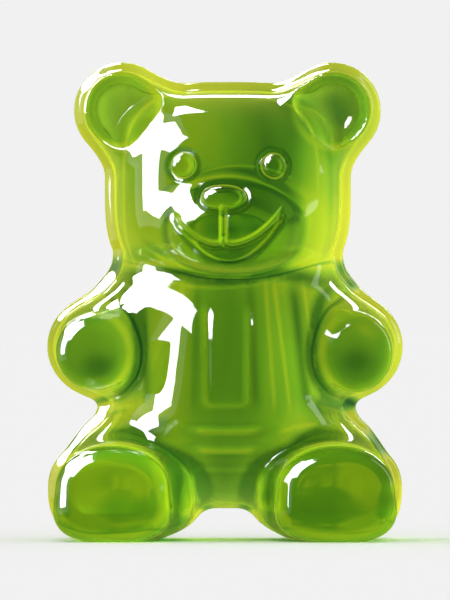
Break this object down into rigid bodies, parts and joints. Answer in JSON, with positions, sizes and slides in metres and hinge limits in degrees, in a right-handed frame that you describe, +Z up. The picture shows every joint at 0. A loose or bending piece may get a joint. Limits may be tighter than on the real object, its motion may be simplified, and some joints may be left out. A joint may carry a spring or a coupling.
{
  "type": "gummy bear",
  "caption": "Green translucent gummy bear sweet with round ears, a smiling muzzle, stub arms and broad feet, moulded in one piece with a flat back.",
  "frame": {"origin": "centre of the sweet's footprint, on the plane that its two feet stand on", "axes": "+Z up from the feet to the ears, +X to the viewer's right when looking at its face, -Y the way it faces, +Y the way its flat back faces"},
  "size_m": [0.0164, 0.0102, 0.022],
  "materials": {
    "green_jelly": "clear glossy fruit jelly, yellow-green at the thin edges and deep green where it is thick"
  },
  "bodies": {
    "root": {"gummy_bear": "green_jelly"}
  },
  "joints": []
}
